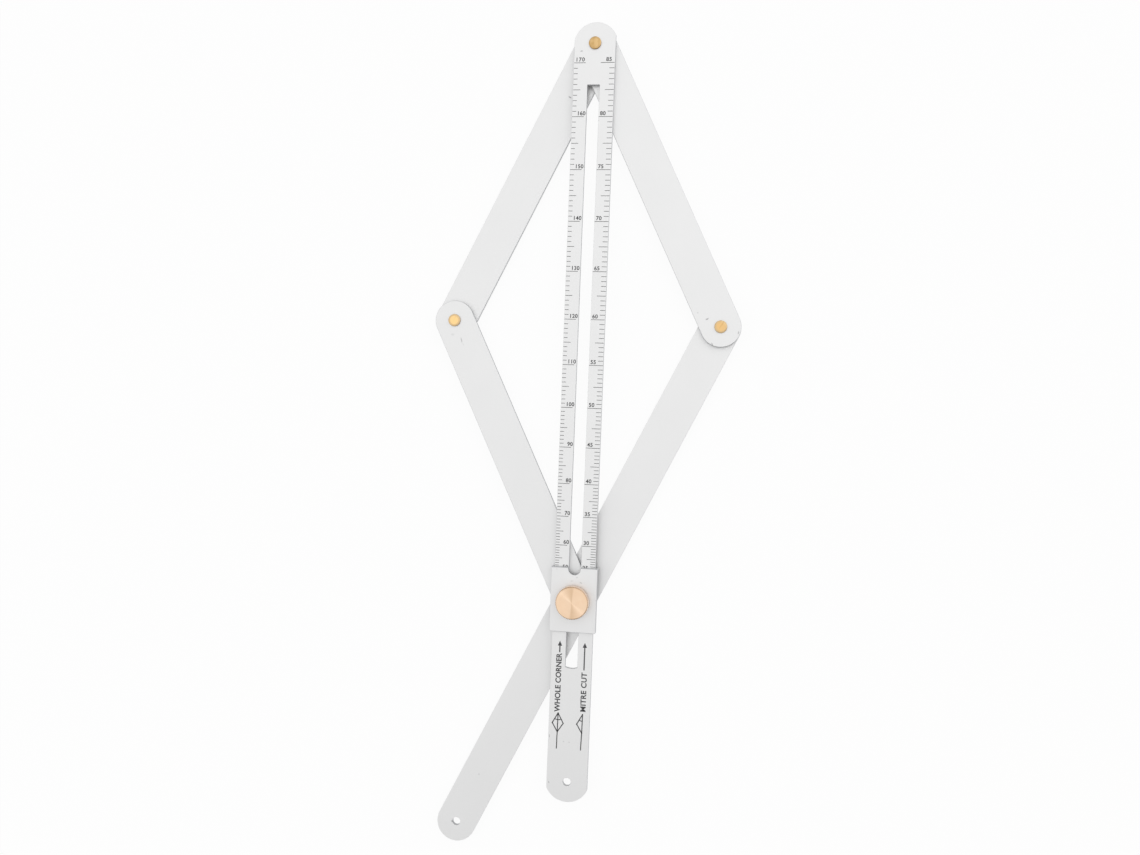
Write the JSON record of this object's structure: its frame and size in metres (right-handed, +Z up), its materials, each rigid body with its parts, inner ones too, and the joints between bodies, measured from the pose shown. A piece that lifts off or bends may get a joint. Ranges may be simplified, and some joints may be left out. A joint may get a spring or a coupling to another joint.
{
  "type": "angle finder with arms",
  "caption": "Slotted ruler with riveted flat arms in a rhombus and a knob-clamped slider that reads a corner's angle and its half.",
  "frame": {"origin": "middle of the footprint as the tool lies on its back, on the surface", "axes": "+Y along the ruler towards its pivot end, +Z up out of the printed face, +X right as the scales are read"},
  "size_m": [0.1504, 0.4046, 0.0148],
  "materials": {
    "ruler_aluminium": "satin anodised, printed scales",
    "arm_aluminium": "satin anodised, fine long grain",
    "slider_aluminium": "satin, bright bevel",
    "rivet_brass": "plain, pressed heads",
    "knob_brass": "turned face, knurled rim",
    "fastener_steel": "zinc plated",
    "nylon": "natural nylon",
    "scale_ink": "printed ink of the scales"
  },
  "bodies": {
    "ruler": {"ruler": "ruler_aluminium", "top_rivet": "rivet_brass", "top_burr_washer": "rivet_brass", "top_upper_spacer": "nylon"},
    "upper_right_arm": {"upper_right_arm": "arm_aluminium", "right_rivet": "rivet_brass", "right_burr_washer": "rivet_brass", "right_spacer": "nylon", "top_lower_spacer": "nylon"},
    "upper_left_arm": {"upper_left_arm": "arm_aluminium", "left_rivet": "rivet_brass", "left_burr_washer": "rivet_brass", "left_spacer": "nylon"},
    "lower_left_arm": {"lower_left_arm": "arm_aluminium"},
    "long_arm": {"long_arm": "arm_aluminium"},
    "slider": {"slider": "slider_aluminium", "clamp_screw": "fastener_steel", "back_washer": "fastener_steel", "guide_bush": "rivet_brass", "arm_spacer": "nylon", "slider_spacer": "nylon"},
    "knob_washer": {"knob_washer": "fastener_steel"},
    "clamp_knob": {"clamp_knob": "knob_brass"}
  },
  "joints": [
    {"name": "arm_spread", "type": "hinge", "parent": "ruler", "child": "upper_right_arm", "pos_m": [0, 0.19228, 0.0038], "axis": [0, 0, 1], "range_deg": [-20.6, 59.65]},
    {"name": "upper_left_swing", "type": "hinge", "parent": "ruler", "child": "upper_left_arm", "pos_m": [0, 0.19228, 0.0038], "axis": [0, 0, 1], "range_deg": [-59.65, 20.6]},
    {"name": "long_arm_swing", "type": "hinge", "parent": "upper_right_arm", "child": "long_arm", "pos_m": [0.0654, 0.05729, 0.0038], "axis": [0, 0, 1], "range_deg": [-119.3, 41.2]},
    {"name": "lower_left_swing", "type": "hinge", "parent": "upper_left_arm", "child": "lower_left_arm", "pos_m": [-0.0654, 0.05729, 0.0038], "axis": [0, 0, 1], "range_deg": [-41.2, 119.3]},
    {"name": "slider_swivel", "type": "hinge", "parent": "long_arm", "child": "slider", "pos_m": [0, -0.0777, 0.0038], "axis": [0, 0, 1], "range_deg": [-20.6, 59.65]},
    {"name": "knob_lift", "type": "slide", "parent": "slider", "child": "knob_washer", "axis": [0, 0, 1], "range_m": [0, 0.0014]},
    {"name": "knob_turn", "type": "hinge", "parent": "knob_washer", "child": "clamp_knob", "pos_m": [0, -0.0777, 0.0038], "axis": [0, 0, 1], "range_deg": [0, 720]}
  ],
  "couplings": [
    {"joint": "upper_left_swing", "follows": "arm_spread", "ratio": -1},
    {"joint": "long_arm_swing", "follows": "arm_spread", "ratio": -2},
    {"joint": "lower_left_swing", "follows": "arm_spread", "ratio": 2},
    {"joint": "slider_swivel", "follows": "arm_spread", "ratio": 1},
    {"joint": "knob_lift", "follows": "knob_turn", "m_per_rad": 0.00011141}
  ]
}
